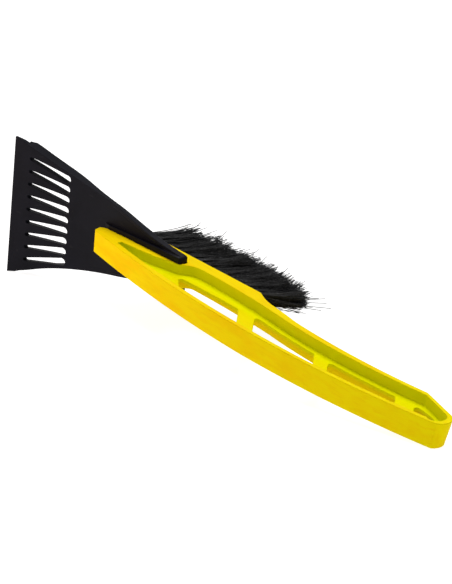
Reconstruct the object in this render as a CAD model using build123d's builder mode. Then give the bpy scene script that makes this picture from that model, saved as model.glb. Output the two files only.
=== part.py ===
"""Hand ice scraper with a snow brush: a moulded handle with a tongue at its front, a slotted scraper
head whose neck pushes into a pocket behind the tongue, and rows of bristle tufts stapled into the back.

Plan points are (x, y) in millimetres from the tip of the tongue: x runs to the tail, y to the bristles.
The handle's mid-plane is z = 0, and the row's origin is the centre of the whole tool's box.
"""
from build123d import *
import math
import os

# Whole tool
BLADE_WIDTH = 100.0
BOX_CENTRE = (127.51, 24.91)      # plan place of the row's origin
CLEARANCE = 0.15                  # running gap between the neck and its pocket

# Handle
GRIP_HALF_WIDTH = 9.25            # in z, from the brush back to the tail
TONGUE_HALF_WIDTH = 7.8           # in z, at the tongue's tip
TAPER_END = 160.0                 # x where the handle reaches its full width
WEB_THICKNESS = 2.5
WINDOW_RADIUS = 1.9
WINDOW_TAIL_RADIUS = 3.6          # at each window's corner nearest the back and the tail
WINDOWS = [                       # edge along the belly, edge along the back: each start, middle, end
    (((88.1, 0.5), (117, 0.1), (145.0, 0.6)), ((126.8, 18.0), (98, 16.1), (71.5, 13.0))),
    (((159.7, 1.3), (187, 2.8), (214.1, 5.9)), ((199.4, 20.6), (172, 20.1), (139.8, 21.2))),
    (((226.1, 7.5), (254, 11.4), (281.0, 16.7)), ((269.7, 28.0), (240, 24.1), (212.2, 21.4))),
    (((295.5, 19.8), (303, 21.2), (311.0, 23.6)), ((310.0, 27.3), (298, 30.3), (285.0, 30.6))),
]
BELLY_END = (318.0, 15.75)
NOSE_TOP = (324.3, 23.8)
NOSE_END = (317.8, 31.9)
BACK_CORNER = (287.5, 38.7)
TAIL_LEAN = (-3.5, -2.0)          # plan shift of the tail's end from the +Z rim to the -Z rim

# Scraper head: "along" is measured on its front face from the neck's start towards the blade
NECK_SLOPE = math.radians(7.2)    # of the neck and the pocket against x
NECK_START = (20.0, 12.7)
NECK_LENGTH = 50.0
HEAD_RADIUS = 262.6
HEAD_LENGTH = 94.1
PLATE_THICKNESS = 3.0
EDGE_THICKNESS = 1.1
BEVEL_LENGTH = 13.0
HALF_WIDTHS = [(84.5, 46.8), (71.0, 41.7), (44.0, 33.1), (25.0, 28.4), (5.0, 23.8), (-10.0, 19.7),
               (-31.0, 15.1)]
NECK_END_HALF_WIDTH = 13.0
NECK_END_RADIUS = 2.0
RIB_WIDTH = 2.2
RAIL_FRONT = 20.0
RAIL_DEPTHS = (2.4, 3.7)          # at the front of the rails and at the neck's end
RAIL_OUTERS = (10.7, 13.0)        # half-width over the rails, at the same two places
SLOT_COUNT = 9
SLOT_NEAR = (81.0, 9.3, 1.15)     # blade end of the slots: along, pitch, radius
SLOT_FAR = (53.4, 7.65, 2.75)     # neck end of the slots

# Brush
BACK_START = (14.0, 26.0)         # outer face of the brush back
BACK_END = (126.0, 35.3)
TUFT_ROWS = {"left": 5.0, "middle": 0.0, "right": -5.0}
TUFT_STATIONS = 14
TUFT_FIRST = 3.4                  # first station's distance along the brush back
TUFT_PITCH = 7.9
TUFT_RADIUS = 1.75
TUFT_TIP_RADIUS = 2.6
TUFT_LENGTH = 32.0
TUFT_LEAN = math.radians(33)      # towards the tail
ROW_FAN = math.radians(9)         # outer rows, away from the middle row
HOLE_DEPTH = 6.0
HOLE_RADIUS = 1.8
STAPLE = (4.2, 1.6, 0.45)         # flat wire across the hole: length, height, thickness
STAPLE_RISE = 0.5                 # above the bottom of the hole

plan = Plane(origin=(-BOX_CENTRE[0], -BOX_CENTRE[1], 0))
side = Plane(origin=(-BOX_CENTRE[0], 0, 0), x_dir=(1, 0, 0), z_dir=(0, -1, 0))
back_along = (Vector(*BACK_END) - Vector(*BACK_START)).normalized()
back_normal = back_along.rotate(Axis.Z, 90)


def save(builder, name):
    builder.part.label = name
    export_step(builder.part, f"parts/{name}.step")


def face_point(along, off=0.0):
    """Plan point on the scraper head, off its front face towards the bristles."""
    angle = NECK_SLOPE + max(along, 0.0) / HEAD_RADIUS
    if along <= 0:
        x = NECK_START[0] - along * math.cos(angle)
        y = NECK_START[1] - along * math.sin(angle)
    else:
        x = NECK_START[0] + HEAD_RADIUS * (math.sin(NECK_SLOPE) - math.sin(angle))
        y = NECK_START[1] - HEAD_RADIUS * (math.cos(NECK_SLOPE) - math.cos(angle))
    return (x - off * math.sin(angle), y + off * math.cos(angle))


def face_x(along):
    return face_point(along)[0]


def handle_half_width(x):
    return TONGUE_HALF_WIDTH + (GRIP_HALF_WIDTH - TONGUE_HALF_WIDTH) * x / TAPER_END


def head_outline(inset):
    """The head seen along y: wide at the blade, a nick behind each blade corner, concave to the neck."""
    with BuildSketch() as outline:
        with BuildLine():
            corner = (face_x(HEAD_LENGTH), BLADE_WIDTH / 2 - inset)
            nick_front = (face_x(88.0), BLADE_WIDTH / 2 - 1.5 - inset)
            curve = [(face_x(along), half - inset) for along, half in HALF_WIDTHS]
            end_x = face_x(-NECK_LENGTH)
            round_start = (end_x - NECK_END_RADIUS, NECK_END_HALF_WIDTH - inset)
            round_end = (end_x, round_start[1] - NECK_END_RADIUS)
            Polyline((corner[0], 0), corner, nick_front, curve[0])
            Spline(*curve, round_start, tangents=((0.95, -0.32), (1, -0.1)))
            RadiusArc(round_start, round_end, NECK_END_RADIUS)
            Polyline(round_end, (end_x, 0), (corner[0], 0))
        make_face()
        mirror(about=Plane.XZ)
    return outline.sketch


def channel_outline(lean_x, lean_y, deeper):
    """The channel seen along z, with its tail end shifted and its back reaching deeper behind the windows."""
    with BuildSketch() as outline:
        with BuildLine():
            belly_end = (310.5 + lean_x, 17.2 + lean_y)
            nose_end = (315.0 + lean_x, 29.7 + lean_y)
            back_corner = (289.5 + lean_x, 35.9 + lean_y)
            ThreePointArc((25.0, 0.9), (150, -4.3), belly_end)
            ThreePointArc(belly_end, (319.9 + lean_x, 23.2 + lean_y), nose_end)
            Line(nose_end, back_corner)
            ThreePointArc(back_corner, (245, 28.7 + deeper), (200, 24.6 + deeper))
            ThreePointArc((200, 24.6 + deeper), (176, 24.0 + deeper), (150, 24.9 + deeper))
            ThreePointArc((150, 24.9 + deeper), (118, 25.2), (84 - 5 * deeper, 23.6 - 1.1 * deeper))
            Spline((84 - 5 * deeper, 23.6 - 1.1 * deeper), (78.5 - 3 * deeper, 22.5 - 0.6 * deeper),
                   (74 - 0.8 * deeper, 20.0), (70.5, 16.8), (61.5, 13.1), (48, 9.0), (34, 6.1),
                   (25, 4.2), tangents=((-1, -0.1), (-1, -0.25)))
            ThreePointArc((25, 4.2), (23.0, 2.4), (25.0, 0.9))
        make_face()
    return outline.sketch


def tuft_plane(station, row_z):
    """Plane on the brush back at the mouth of one hole, looking out of it."""
    start = plan.from_local_coords(Vector(*BACK_START))
    mouth = start + back_along * (TUFT_FIRST + station * TUFT_PITCH) + Vector(0, 0, row_z)
    return Plane(origin=mouth, x_dir=back_along, z_dir=back_normal)


def staple_plane(station, row_z):
    return tuft_plane(station, row_z).offset(STAPLE_RISE + STAPLE[1] / 2 - HOLE_DEPTH)


os.makedirs("parts", exist_ok=True)

# ---------------------------------------------------------------- handle
pocket_top = PLATE_THICKNESS + CLEARANCE
pocket_end = -NECK_LENGTH - 0.5

with BuildPart() as handle:
    with BuildSketch(plan.offset(-GRIP_HALF_WIDTH)):
        with BuildLine():
            ThreePointArc((2.0, -0.25), (150, -7.45), BELLY_END)
            ThreePointArc(BELLY_END, NOSE_TOP, NOSE_END)
            Line(NOSE_END, BACK_CORNER)
            ThreePointArc(BACK_CORNER, (225, 30.3), (182, 28.35))
            Spline((182, 28.35), (171, 28.5), (155, 30.0), (142, 30.9), (136, 32.2), (130.8, 34.2),
                   BACK_END, tangents=((-1, 0.0), (-1, -0.084)))
            Polyline(BACK_END, BACK_START, (12.0, 23.9), face_point(7, pocket_top + 0.3),
                     face_point(0, pocket_top), face_point(pocket_end, pocket_top),
                     face_point(pocket_end, -CLEARANCE), face_point(4, -CLEARANCE))
            Spline(face_point(4, -CLEARANCE), (5.5, 8.9), (-0.3, 5.2), (0, 1.8),
                   tangents=((-1, -0.2), (0.2, -1)))
            ThreePointArc((0, 1.8), (0.55, 0.4), (2.0, -0.25))
        make_face()
    extrude(amount=2 * GRIP_HALF_WIDTH)
    # thinner in z towards the tongue
    with BuildSketch(side):
        with BuildLine():
            front = handle_half_width(-6)
            Polyline((-6, front), (TAPER_END, GRIP_HALF_WIDTH), (340, GRIP_HALF_WIDTH),
                     (340, -GRIP_HALF_WIDTH), (TAPER_END, -GRIP_HALF_WIDTH), (-6, -front), (-6, front))
        make_face()
    extrude(amount=150, both=True, mode=Mode.INTERSECT)
    # the end of the tail leans inwards from one rim to the other
    slant = Vector(TAIL_LEAN[0], TAIL_LEAN[1], -2 * GRIP_HALF_WIDTH)
    with BuildSketch(Plane(plan.origin + Vector(0, 0, GRIP_HALF_WIDTH) - slant * 0.1)):
        with BuildLine():
            Line((273, 42.05), NOSE_END)
            ThreePointArc(NOSE_END, NOSE_TOP, BELLY_END)
            Polyline(BELLY_END, (321, 4), (345, 4), (345, 60), (273, 60), (273, 42.05))
        make_face()
    extrude(amount=1.3 * slant.length, dir=slant, mode=Mode.SUBTRACT)
    # a deep channel on each side of the web
    with BuildSketch(plan.offset(WEB_THICKNESS / 2)):
        add(channel_outline(0, 0, 0))
    extrude(amount=GRIP_HALF_WIDTH, mode=Mode.SUBTRACT)
    with BuildSketch(plan.offset(-WEB_THICKNESS / 2)):
        add(channel_outline(*TAIL_LEAN, 1.0))
    extrude(amount=-GRIP_HALF_WIDTH, mode=Mode.SUBTRACT)
    # windows through the web, parted by slanting bars
    for near, far in WINDOWS:
        with BuildSketch(plan.offset(-WEB_THICKNESS)):
            with BuildLine():
                ThreePointArc(*near)
                Line(near[2], far[0])
                ThreePointArc(*far)
                Line(far[2], near[0])
            make_face()
            tail_radius = min(WINDOW_TAIL_RADIUS, math.dist(near[2], far[0]) / 2)
            fillet(vertices().sort_by_distance(far[0])[0], tail_radius)
            fillet(vertices().sort_by_distance(far[0])[2:], WINDOW_RADIUS)
        extrude(amount=2 * WEB_THICKNESS, mode=Mode.SUBTRACT)
    # blind holes for the tufts
    for row_z in TUFT_ROWS.values():
        for station in range(TUFT_STATIONS):
            with BuildSketch(tuft_plane(station, row_z)):
                Circle(HOLE_RADIUS)
            extrude(amount=-HOLE_DEPTH, mode=Mode.SUBTRACT)
save(handle, "handle")

# ---------------------------------------------------------------- scraper head
full_outline = head_outline(0.0)
inner_outline = head_outline(RIB_WIDTH)
bevel_start = HEAD_LENGTH - BEVEL_LENGTH

with BuildPart() as plate:
    # straight neck, curved head, both faces bevelled to the blade edge
    with BuildSketch(plan.offset(-BLADE_WIDTH / 2)):
        with BuildLine():
            Line(face_point(-NECK_LENGTH), face_point(0))
            ThreePointArc(face_point(0), face_point(bevel_start / 2), face_point(bevel_start))
            Polyline(face_point(bevel_start), face_point(HEAD_LENGTH, 0.9),
                     face_point(HEAD_LENGTH, 0.9 + EDGE_THICKNESS),
                     face_point(bevel_start, PLATE_THICKNESS))
            ThreePointArc(face_point(bevel_start, PLATE_THICKNESS),
                          face_point(bevel_start / 2, PLATE_THICKNESS), face_point(0, PLATE_THICKNESS))
            Polyline(face_point(0, PLATE_THICKNESS), face_point(-NECK_LENGTH, PLATE_THICKNESS),
                     face_point(-NECK_LENGTH))
        make_face()
    extrude(amount=BLADE_WIDTH)
    with BuildSketch(side):
        add(full_outline)
    extrude(amount=150, both=True, mode=Mode.INTERSECT)

with BuildPart() as ribs:
    # a rib along each side edge: behind the plate at the blade, in front of it along the neck
    with BuildSketch(plan.offset(-BLADE_WIDTH / 2)):
        with BuildLine():
            Spline(*[face_point(*p) for p in ((-30, -1.2), (-8, -1.0), (10, -0.3), (30, 0.5), (58, 0.6),
                                              (84.5, 0.6))])
            Polyline(*[face_point(*p) for p in ((84.5, 0.6), (84.0, 4.2), (80.5, 6.5))])
            Spline(*[face_point(*p) for p in ((80.5, 6.5), (72, 6.4), (52, 6.4), (40, 5.5), (30, 4.0),
                                              (18, 3.02), (-30, 3.02))])
            Polyline(*[face_point(*p) for p in ((-30, 3.02), (-NECK_LENGTH, 3.0), (-NECK_LENGTH, -1.2),
                                                (-30, -1.2))])
        make_face()
    extrude(amount=BLADE_WIDTH)
    with BuildSketch(side):
        add(full_outline)
        add(inner_outline, mode=Mode.SUBTRACT)
    extrude(amount=150, both=True, mode=Mode.INTERSECT)

with BuildPart() as rails:
    # a rail on each side of the tongue, lapping over its rims
    with BuildSketch(plan.offset(-BLADE_WIDTH / 2)):
        with BuildLine():
            Polyline(*[face_point(*p) for p in ((RAIL_FRONT, 0.8), (RAIL_FRONT, -0.5),
                                                (RAIL_FRONT - 4.5, -RAIL_DEPTHS[0]),
                                                (0, -RAIL_DEPTHS[0] - 0.3),
                                                (1.5 - NECK_LENGTH, -RAIL_DEPTHS[1]),
                                                (-NECK_LENGTH, 1.5 - RAIL_DEPTHS[1]),
                                                (-NECK_LENGTH, 0.8), (0, 0.8), (RAIL_FRONT, 0.8))])
        make_face()
    extrude(amount=BLADE_WIDTH)
    with BuildSketch(side):
        front, end = face_x(RAIL_FRONT), face_x(-NECK_LENGTH)
        Polygon((front, handle_half_width(front) + 0.2), (end, handle_half_width(end) + 0.2),
                (end, RAIL_OUTERS[1]), (front, RAIL_OUTERS[0]), align=None)
        mirror(about=Plane.XZ)
    extrude(amount=150, both=True, mode=Mode.INTERSECT)
    with BuildSketch(side):
        add(full_outline)
    extrude(amount=150, both=True, mode=Mode.INTERSECT)

with BuildPart() as scraper_head:
    add(plate.part)
    add(ribs.part)
    add(rails.part)
    # fanned slots, widening and closing up towards the neck
    with BuildSketch(side):
        for slot in range(SLOT_COUNT):
            place = slot - (SLOT_COUNT - 1) / 2
            near_x, near_z, near_r = face_x(SLOT_NEAR[0]), place * SLOT_NEAR[1], SLOT_NEAR[2]
            far_x, far_z, far_r = face_x(SLOT_FAR[0]), place * SLOT_FAR[1], SLOT_FAR[2]
            with BuildLine():
                ThreePointArc((near_x, near_z - near_r), (near_x - near_r, near_z),
                              (near_x, near_z + near_r))
                Line((near_x, near_z + near_r), (far_x, far_z + far_r))
                ThreePointArc((far_x, far_z + far_r), (far_x + far_r, far_z), (far_x, far_z - far_r))
                Line((far_x, far_z - far_r), (near_x, near_z - near_r))
            make_face()
    extrude(amount=150, both=True, mode=Mode.SUBTRACT)
save(scraper_head, "scraper_head")

# ---------------------------------------------------------------- brush
for row, row_z in TUFT_ROWS.items():
    fan = math.copysign(ROW_FAN, row_z) if row_z else 0.0
    lean = back_normal * math.cos(TUFT_LEAN) + back_along * math.sin(TUFT_LEAN)
    lean = lean * math.cos(fan) + Vector(0, 0, math.sin(fan))

    for station in range(TUFT_STATIONS):
        mouth = tuft_plane(station, row_z)
        with BuildPart() as tuft:
            # bristles bunched in the hole, then leaning and spreading to the tip
            with BuildSketch(mouth.offset(-HOLE_DEPTH)):
                Circle(TUFT_RADIUS)
            extrude(amount=HOLE_DEPTH)
            with BuildSketch(mouth):
                Circle(TUFT_RADIUS)
            tip = Plane(origin=mouth.origin + lean * TUFT_LENGTH, x_dir=(0, 0, 1), z_dir=lean)
            with BuildSketch(tip):
                Circle(TUFT_TIP_RADIUS)
            loft()
            with Locations(staple_plane(station, row_z)):
                Box(STAPLE[0], STAPLE[2], STAPLE[1], mode=Mode.SUBTRACT)
        save(tuft, f"tuft_{row}_{station + 1:02d}")

    with BuildPart() as staples:
        # wire anchors that hold the tufts down, their ends driven into the holes' walls
        for station in range(TUFT_STATIONS):
            with Locations(staple_plane(station, row_z)):
                Box(STAPLE[0], STAPLE[2], STAPLE[1])
    save(staples, f"staples_{row}")
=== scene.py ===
"""Looks of a windshield ice scraper: yellow moulded handle, black scraper head, leaning bristle brush."""
import math
import random

import bmesh
import bpy
from mathutils import Matrix, Vector


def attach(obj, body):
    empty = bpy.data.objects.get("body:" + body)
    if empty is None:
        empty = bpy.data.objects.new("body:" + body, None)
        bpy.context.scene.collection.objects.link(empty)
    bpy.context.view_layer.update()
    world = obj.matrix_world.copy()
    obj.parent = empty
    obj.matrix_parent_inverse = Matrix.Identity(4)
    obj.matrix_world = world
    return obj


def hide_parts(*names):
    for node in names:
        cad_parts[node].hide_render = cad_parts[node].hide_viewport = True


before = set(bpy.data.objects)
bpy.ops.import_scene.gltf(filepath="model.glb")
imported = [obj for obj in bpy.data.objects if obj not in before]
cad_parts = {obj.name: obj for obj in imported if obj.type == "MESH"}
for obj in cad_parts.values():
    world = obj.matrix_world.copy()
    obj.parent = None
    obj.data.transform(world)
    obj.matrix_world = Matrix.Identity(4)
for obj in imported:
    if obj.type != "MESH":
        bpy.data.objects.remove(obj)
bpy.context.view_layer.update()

MM = 0.001
# plan place of the frame's origin, from the tip of the handle's tongue, as the CAD has it
BOX_CENTRE = Vector((127.51, 24.91, 0.0))

# ---------------------------------------------------------------- camera
AZIMUTH, ELEVATION, ROLL = (math.radians(a) for a in (48.0, 27.6, 4.9014))
DISTANCE = 4.0
LENS = 380.9
AIM = (Vector((102.43, 28.14, 0.0)) - BOX_CENTRE) * MM

back = Vector((math.sin(AZIMUTH) * math.cos(ELEVATION), -math.cos(AZIMUTH) * math.cos(ELEVATION),
               math.sin(ELEVATION)))
right = Vector((math.cos(AZIMUTH), math.sin(AZIMUTH), 0.0))
up = back.cross(right)
view_x = right * math.cos(ROLL) + up * math.sin(ROLL)
view_y = up * math.cos(ROLL) - right * math.sin(ROLL)

camera = bpy.data.objects.new("camera", bpy.data.cameras.new("camera"))
bpy.context.scene.collection.objects.link(camera)
camera.data.lens = LENS
camera.data.clip_end = 20.0
turned = Matrix((view_x, view_y, back)).transposed().to_4x4()
camera.matrix_world = Matrix.Translation(AIM + back * DISTANCE) @ turned
bpy.context.scene.camera = camera
bpy.context.scene.view_settings.view_transform = "Standard"


# ---------------------------------------------------------------- materials
class Shader:
    """A material's node tree, with short ways to add nodes and join them."""

    def __init__(self, name):
        self.material = bpy.data.materials.new(name)
        self.material.use_nodes = True
        self.nodes = self.material.node_tree.nodes
        self.surface = self.nodes["Principled BSDF"]

    def add(self, kind, values=None, **inputs):
        node = self.nodes.new("ShaderNode" + kind)
        for key, value in (values or {}).items():
            setattr(node, key, value)
        for key, value in inputs.items():
            self.join(value, node.inputs[key.replace("_", " ")])
        return node

    def join(self, value, socket):
        if isinstance(value, bpy.types.NodeSocket):
            self.material.node_tree.links.new(value, socket)
        else:
            socket.default_value = value

    def set(self, **inputs):
        for key, value in inputs.items():
            self.join(value, self.surface.inputs[key.replace("_", " ")])

    def place(self, stretch=(1, 1, 1)):
        """Object coordinates in metres, stretched."""
        coords = self.add("TexCoord").outputs["Object"]
        return self.add("Mapping", Vector=coords, Scale=stretch).outputs[0]

    def noise(self, scale, detail, stretch=(1, 1, 1), rough=0.5):
        return self.add("TexNoise", Vector=self.place(stretch), Scale=scale, Detail=detail,
                        Roughness=rough).outputs["Fac"]

    def ramp(self, value, *stops):
        node = self.add("ValToRGB", Fac=value)
        points = node.color_ramp.elements
        for place, colour in stops[2:]:
            points.new(place)
        for point, (place, colour) in zip(points, stops):
            point.position = place
            point.color = (*colour, 1)
        return node.outputs["Color"]

    def mix(self, factor, a, b):
        """Colour a where the factor is 0, colour b where it is 1."""
        node = self.add("Mix", {"data_type": "RGBA"})
        for value, index in ((factor, 0), (a, 6), (b, 7)):
            if isinstance(value, tuple):
                value = (*value, 1)
            self.join(value, node.inputs[index])
        return node.outputs[2]

    def map(self, value, low, high, to_low, to_high):
        node = self.add("MapRange", Value=value)
        for index, number in enumerate((low, high, to_low, to_high), 1):
            node.inputs[index].default_value = number
        return node.outputs[0]

    def bump(self, height, distance, strength, normal=None):
        node = self.add("Bump", Height=height, Distance=distance, Strength=strength)
        if normal:
            self.join(normal, node.inputs["Normal"])
        return node.outputs[0]


def yellow_plastic():
    """Moulded yellow polypropylene: a little translucent, with orange mottles, flow streaks and a satin
    grain. Painted light falloff: redder at the front and greener towards the tail, following the front lamp.
    Painted shade:
    greener and darker in the channel and other hollows, where light only reaches it from the plastic around
    it, a lit green on the upper side and a shaded brown on the lower."""
    m = Shader("yellow_plastic")
    # painted shade: ambient occlusion from the part itself turns the colour greener and darker in the
    # channel and other hollows
    shade = m.add("AmbientOcclusion", {"samples": 8, "only_local": True}, Distance=0.03).outputs["AO"]
    place = m.add("SeparateXYZ", Vector=m.place())
    # painted light and shade by side: the upper side's channel is painted a lit green, the lower side's a
    # shaded brown
    painted_lit_upper_side = m.map(place.outputs["Z"], -0.002, 0.001, 0.0, 1.0)
    # painted light falloff: the colour is redder at the front and greener towards the tail, following the
    # front lamp's falloff
    painted_falloff_to_tail = m.map(place.outputs["X"], -0.12, 0.19, 0.0, 1.0)
    mottles = m.map(m.noise(60, 4, (0.5, 1.5, 1.5), 0.6), 0.46, 0.66, 0.0, 0.8)
    streaks = m.map(m.noise(420, 3, (0.12, 1, 1), 0.6), 0.5, 0.72, 0.0, 0.6)
    plain = m.mix(painted_falloff_to_tail, (0.86, 0.61, 0.002), (0.81, 0.67, 0.001))
    orange = m.mix(painted_falloff_to_tail, (0.88, 0.51, 0.001), (0.80, 0.59, 0.001))
    mottled_lit_face = m.mix(streaks, m.mix(mottles, plain, orange), (0.77, 0.53, 0.001))
    painted_shade_green = m.mix(painted_lit_upper_side, (0.74, 0.56, 0.0), (0.76, 0.75, 0.0))
    painted_deep_shade = m.mix(painted_lit_upper_side, (0.54, 0.40, 0.0), (0.74, 0.74, 0.001))
    # painted shade: the lit face colour turns into painted green shade as occlusion grows, and into the
    # deeper painted shade in the deepest hollows
    body = m.mix(m.map(shade, 0.74, 0.99, 0.0, 1.0), painted_shade_green, mottled_lit_face)
    body = m.mix(m.map(shade, 0.33, 0.68, 1.0, 0.0), body, painted_deep_shade)
    m.set(Base_Color=body, Roughness=m.map(m.noise(400, 3), 0.3, 0.7, 0.42, 0.56))
    m.set(Subsurface_Weight=0.1, Subsurface_Radius=(0.004, 0.003, 0.0006), Subsurface_Scale=1.0)
    m.set(Specular_IOR_Level=0.008, Specular_Tint=(1.0, 0.8, 0.25, 1))
    edges = m.add("Bevel", {"samples": 6}, Radius=0.0009).outputs[0]
    grain = m.bump(m.noise(2600, 2), 0.00003, 0.5, edges)
    m.set(Normal=m.bump(m.noise(90, 3, (0.4, 1.5, 1.5)), 0.0004, 0.3, grain))
    return m.material


def black_plastic():
    """Moulded black plastic: satin, with a fine grain, faint scuffs and slightly paler worn patches."""
    m = Shader("black_plastic")
    tone = m.ramp(m.noise(70, 4), (0.3, (0.0042, 0.0041, 0.0068)), (0.7, (0.0062, 0.0061, 0.0102)))
    scuffs = m.map(m.noise(500, 2, (0.15, 1, 1)), 0.66, 0.74, 0.0, 0.18)
    m.set(Base_Color=m.mix(scuffs, tone, (0.03, 0.03, 0.033)))
    m.set(Roughness=m.map(m.noise(160, 4), 0.3, 0.7, 0.36, 0.5), Specular_IOR_Level=0.06)
    edges = m.add("Bevel", {"samples": 6}, Radius=0.0006).outputs[0]
    grain = m.bump(m.noise(3000, 2), 0.00004, 0.6, edges)
    m.set(Normal=m.bump(m.noise(60, 2), 0.0004, 0.2, grain))
    return m.material


def bristle_plastic():
    """Black synthetic bristle: a dull gloss, and a dark grey tone that varies along and between strands, its
    paler strands partly a painted sheen and partly a paler grey of their own.
    """
    m = Shader("bristle")
    # partly painted sheen: the paler end of this random tone stands in for the strands' highlights as well
    # as for paler strands
    tone = m.ramp(m.noise(700, 3, (1, 1, 1), 0.7), (0.44, (0.001, 0.001, 0.0013)),
                  (0.58, (0.013, 0.013, 0.014)), (0.68, (0.055, 0.055, 0.058)))
    m.set(Base_Color=tone, Roughness=m.map(m.noise(1500, 1), 0.3, 0.7, 0.35, 0.5), Specular_IOR_Level=0.3)
    return m.material


def steel_wire():
    """Drawn flat wire with fine lengthwise lines."""
    m = Shader("staple_wire")
    lines = m.noise(3000, 2, (0.1, 1, 1))
    m.set(Base_Color=m.ramp(lines, (0.3, (0.35, 0.35, 0.36)), (0.7, (0.6, 0.6, 0.61))))
    m.set(Metallic=1.0, Roughness=m.map(lines, 0.3, 0.7, 0.25, 0.42), Normal=m.bump(lines, 0.00002, 0.6))
    return m.material


def paint(obj, material):
    obj.data.materials.clear()
    obj.data.materials.append(material)


yellow = yellow_plastic()
black = black_plastic()
strand_black = bristle_plastic()
wire = steel_wire()

for name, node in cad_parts.items():
    if name == "handle":
        paint(node, yellow)
    elif name == "scraper_head":
        paint(node, black)
    elif name.startswith("staples"):
        paint(node, wire)

# ---------------------------------------------------------------- bristles
BACK_START = (Vector((14.0, 26.0, 0)) - BOX_CENTRE) * MM
BACK_END = (Vector((126.0, 35.3, 0)) - BOX_CENTRE) * MM
ROWS = {"left": 0.005, "middle": 0.0, "right": -0.005}     # height of each row of tufts
STATIONS = 14
FIRST, PITCH = 0.0034, 0.0079      # place of the first tuft along the brush's back, step to the next
HOLE_DEPTH = 0.006
BUNDLE_RADIUS = 0.00165            # of the clumps' spread about the hole's axis; the hole's own is 0.0018
ROOT_LIFT = 0.002                  # strands start this far above the bottom of the hole
STRAND_RADIUS = 0.00023            # at the root
STRAND_TAPER = 0.3                 # share of the radius lost at the tip
STRAND_SIDES = (0.0, 2.094, 4.189)     # a third of a turn apart
STEPS = 8                          # straight lengths in a strand
LENGTH = 0.0380                    # of a strand, from its root
SEED = 7

# angles in degrees: a lean is towards the tail, a fan towards +Z; pairs are for the first and last tuft
LEANS = {"left": (37, 40), "middle": (35, 35), "right": (33, 20)}
FANS = {"left": (-1, -8), "middle": (0, -3), "right": (-4, 9)}
UPSWEEPS = (4, 14)                 # more fan at the tips
ARCH = 6                           # more fan halfway along the brush
TUFT_JITTER = 1.5                  # how much a tuft's lean and fan vary

# strands stick together in small clumps: one in the bundle's middle, the rest around it
CLUMPS, STRANDS = 14, 10
CLUMP_REACH = 0.62                 # from the middle, as a share of the bundle's radius
CLUMP_TURN_JITTER = 0.4            # radians around the bundle
LEAN_SPREAD, FAN_SPREAD = 6.0, 4.5     # turned outwards, as it would be at the bundle's edge
CLUMP_LEAN_JITTER, CLUMP_FAN_JITTER, CLUMP_LENGTH_JITTER = 3.5, 2.5, 0.0012
CLUMP_CURL = (8, 7)                # how much the bends in lean and fan vary
STRAND_PLACE_JITTER = 0.3          # as a share of the bundle's radius
STRAND_LEAN_JITTER, STRAND_FAN_JITTER, STRAND_LENGTH_JITTER = 2.2, 2.0, 0.0009
STRAND_CURL = 6                    # for both bends

# single, thicker strands that stand out of each tuft
STRAYS = 4
STRAY_THICKNESS = 1.3
STRAY_EXTRA = (0.001, 0.006)       # least and most extra length
STRAY_LEAN_JITTER, STRAY_FAN_JITTER = 5, 4
STRAY_FAN = 2                      # more fan than the tuft's
STRAY_CURL = (14, 12)
STRAY_UPSWEEP = 8                  # more than the tuft's

# lean, fan and length, from the bottom of the hole, of the long loose strands of the last middle tuft
WISPS = [(46, -2, 0.058), (44, 1, 0.055), (42, 3, 0.054), (40, 5, 0.050), (47, -4, 0.052)]
WISP_THICKNESS = 1.5
WISP_CURL = 5                      # for both bends

along = (BACK_END - BACK_START).normalized()
outward = Vector((-along.y, along.x, 0))
across = Vector((0, 0, 1))


def strand(mesh, root, lean, fan, length, curl, thickness=1.0):
    """One bristle: a thin three-sided tube that bends more and grows thinner towards its tip."""
    point = root.copy()
    rings = []
    for step in range(STEPS + 1):
        share = step / STEPS
        bend = curl[0] * share * share
        twist = curl[1] * share * share
        a, f = math.radians(lean + bend), math.radians(fan + twist)
        heading = (outward * math.cos(a) + along * math.sin(a)) * math.cos(f) + across * math.sin(f)
        sideways = heading.cross(across).normalized()
        other = heading.cross(sideways)
        radius = STRAND_RADIUS * thickness * (1.0 - STRAND_TAPER * share)
        rings.append([mesh.verts.new(point + (sideways * math.cos(t) + other * math.sin(t)) * radius)
                      for t in STRAND_SIDES])
        point += heading * length / STEPS
    for low, high in zip(rings, rings[1:]):
        for i in range(3):
            mesh.faces.new((low[i], low[i - 1], high[i - 1], high[i]))
    mesh.faces.new(rings[0])
    mesh.faces.new(rings[-1][::-1])


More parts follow.
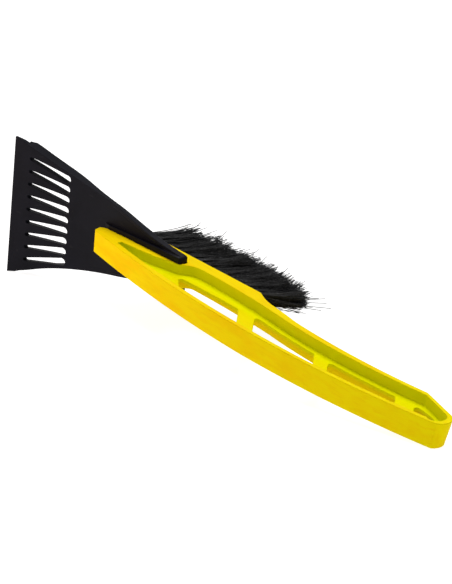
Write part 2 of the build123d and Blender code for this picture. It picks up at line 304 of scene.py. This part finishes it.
def bristle_tuft(row, row_z, station, dice):
    """A bundle of strands rooted in one hole, leaning and spreading in clumps from the root, with strays."""
    mouth = BACK_START + along * (FIRST + station * PITCH) + across * row_z
    middle_root = mouth - outward * (HOLE_DEPTH - ROOT_LIFT)
    share = station / (STATIONS - 1)
    tuft_lean = LEANS[row][0] * (1 - share) + LEANS[row][1] * share + dice.gauss(0, TUFT_JITTER)
    tuft_fan = FANS[row][0] * (1 - share) + FANS[row][1] * share + dice.gauss(0, TUFT_JITTER)
    tuft_fan += ARCH * math.sin(math.pi * share)
    upsweep = UPSWEEPS[0] * (1 - share) + UPSWEEPS[1] * share
    mesh = bmesh.new()
    for clump in range(CLUMPS):
        turn = 2 * math.pi * clump / CLUMPS + dice.uniform(-CLUMP_TURN_JITTER, CLUMP_TURN_JITTER)
        reach = BUNDLE_RADIUS * (0.0 if clump == 0 else CLUMP_REACH)
        u, w = reach * math.cos(turn), reach * math.sin(turn)
        clump_lean = tuft_lean + LEAN_SPREAD * u / BUNDLE_RADIUS + dice.gauss(0, CLUMP_LEAN_JITTER)
        clump_fan = tuft_fan + FAN_SPREAD * w / BUNDLE_RADIUS + dice.gauss(0, CLUMP_FAN_JITTER)
        clump_length = LENGTH + dice.gauss(0, CLUMP_LENGTH_JITTER)
        clump_curl = (dice.gauss(0, CLUMP_CURL[0]), dice.gauss(upsweep, CLUMP_CURL[1]))
        for _ in range(STRANDS):
            du = dice.gauss(0, STRAND_PLACE_JITTER) * BUNDLE_RADIUS
            dw = dice.gauss(0, STRAND_PLACE_JITTER) * BUNDLE_RADIUS
            root = middle_root + along * (u + du) + across * (w + dw)
            lean = clump_lean + dice.gauss(0, STRAND_LEAN_JITTER)
            fan = clump_fan + dice.gauss(0, STRAND_FAN_JITTER)
            length = clump_length + dice.gauss(0, STRAND_LENGTH_JITTER)
            curl = (clump_curl[0] + dice.gauss(0, STRAND_CURL), clump_curl[1] + dice.gauss(0, STRAND_CURL))
            strand(mesh, root, lean, fan, length, curl)
    for _ in range(STRAYS):
        lean = tuft_lean + dice.gauss(0, STRAY_LEAN_JITTER)
        fan = tuft_fan + dice.gauss(STRAY_FAN, STRAY_FAN_JITTER)
        length = LENGTH + dice.uniform(*STRAY_EXTRA)
        curl = (dice.gauss(0, STRAY_CURL[0]), dice.gauss(upsweep + STRAY_UPSWEEP, STRAY_CURL[1]))
        strand(mesh, middle_root, lean, fan, length, curl, STRAY_THICKNESS)
    if station == STATIONS - 1 and row == "middle":
        for lean, fan, length in WISPS:
            curl = (dice.gauss(0, WISP_CURL), dice.gauss(0, WISP_CURL))
            strand(mesh, mouth, lean, fan, length - HOLE_DEPTH, curl, WISP_THICKNESS)
    name = f"{row}_{station + 1:02d}"
    data = bpy.data.meshes.new(f"bristles_{name}")
    mesh.to_mesh(data)
    mesh.free()
    tuft = bpy.data.objects.new(f"bristles_{name}", data)
    bpy.context.scene.collection.objects.link(tuft)
    for face in data.polygons:
        face.use_smooth = True
    paint(tuft, strand_black)
    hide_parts(f"tuft_{name}")
    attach(tuft, "handle")


dice = random.Random(SEED)
for row, row_z in ROWS.items():
    for station in range(STATIONS):
        bristle_tuft(row, row_z, station, dice)


# ---------------------------------------------------------------- floor and light
def area_light(name, place, size, power, height=None, colour=(1, 1, 1)):
    light = bpy.data.objects.new(name, bpy.data.lights.new(name, "AREA"))
    light.data.shape = "RECTANGLE"
    light.data.size = size
    light.data.size_y = height or size
    light.data.energy = power
    light.data.color = colour
    light.location = place
    light.rotation_euler = (-Vector(place)).to_track_quat("-Z", "Y").to_euler()
    bpy.context.scene.collection.objects.link(light)


# the tool lies on its side: the blade's lower corner and the handle's tail rest on the floor
FLOOR_RISE, FLOOR_RUN = 0.0405, 0.389
FLOOR_PLACE = Vector((-0.1964, 0.0, -0.0502))
FLOOR_REACH = 6.0

floor_mesh = bmesh.new()
bmesh.ops.create_grid(floor_mesh, x_segments=1, y_segments=1, size=FLOOR_REACH)
floor_data = bpy.data.meshes.new("floor")
floor_mesh.to_mesh(floor_data)
floor = bpy.data.objects.new("floor", floor_data)
floor.location = FLOOR_PLACE
floor.rotation_euler = (0, -math.atan2(FLOOR_RISE, FLOOR_RUN), 0)
bpy.context.scene.collection.objects.link(floor)
pale = Shader("pale_floor")
pale.set(Base_Color=(0.36, 0.36, 0.36, 1), Roughness=0.9, Specular_IOR_Level=0.0)
pale.set(Emission_Color=(1, 1, 1, 1), Emission_Strength=0.87)
paint(floor, pale.material)

world = bpy.data.worlds.new("studio")
world.use_nodes = True
world.node_tree.nodes["Background"].inputs["Color"].default_value = (1, 1, 1, 1)
world.node_tree.nodes["Background"].inputs["Strength"].default_value = 0.27
bpy.context.scene.world = world
area_light("overhead", (-0.1, 0.3, 2.4), 1.6, 51)
area_light("front", (-0.36, -0.27, 0.04), 0.3, 0.75, 0.12, (1.0, 0.72, 0.55))
area_light("back", (-1.75, 1.55, 1.2), 2.0, 14)
